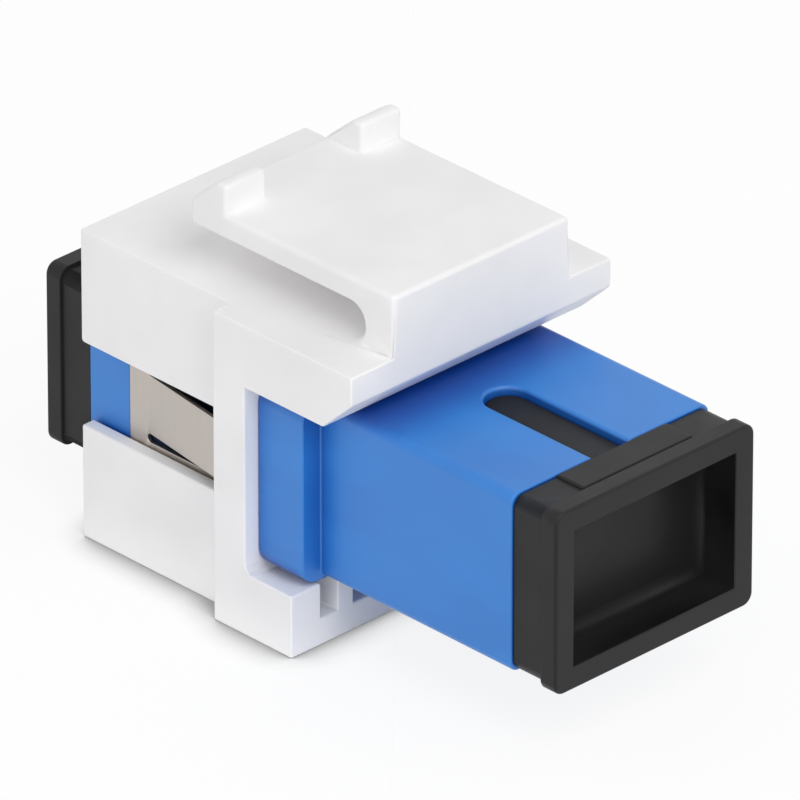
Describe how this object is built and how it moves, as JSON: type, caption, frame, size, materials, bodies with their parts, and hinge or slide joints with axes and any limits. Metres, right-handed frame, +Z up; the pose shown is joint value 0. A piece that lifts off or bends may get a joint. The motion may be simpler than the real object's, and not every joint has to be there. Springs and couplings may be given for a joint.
{
  "type": "keystone fibre optic adapter",
  "caption": "SC simplex fibre adapter held in a keystone housing with a sprung release latch, a steel spring clip and two pull-out dust caps.",
  "frame": {"origin": "on the housing's bottom face, under the middle of the adapter's flange", "axes": "+Y along the fibre towards the rear port, +Z up towards the latch, +X across"},
  "size_m": [0.0166, 0.0338, 0.021],
  "materials": {
    "housing_white": "satin ABS, white",
    "adapter_blue": "satin PBT, blue",
    "insert_white": "natural PEI or PBT, pale",
    "ceramic": "polished zirconia",
    "clip_steel": "bright stainless sheet",
    "cap_black": "soft polyethylene, black"
  },
  "bodies": {
    "holder": {"keystone_housing": "housing_white", "adapter_front_shell": "adapter_blue", "adapter_rear_shell": "adapter_blue", "front_latch_insert": "insert_white", "rear_latch_insert": "insert_white", "alignment_sleeve": "ceramic", "spring_clip": "clip_steel"},
    "latch": {"release_latch": "housing_white"},
    "front_cap": {"front_dust_cap": "cap_black"},
    "rear_cap": {"rear_dust_cap": "cap_black"}
  },
  "joints": [
    {"name": "latch_press", "type": "hinge", "parent": "holder", "child": "latch", "pos_m": [0, 0.0046, 0.01735], "axis": [1, 0, 0], "range_deg": [0, 7], "stiffness_Nm_per_rad": 0.6},
    {"name": "front_cap_pull", "type": "slide", "parent": "holder", "child": "front_cap", "axis": [0, -1, 0], "range_m": [0, 0.014]},
    {"name": "rear_cap_pull", "type": "slide", "parent": "holder", "child": "rear_cap", "axis": [0, 1, 0], "range_m": [0, 0.014]}
  ]
}
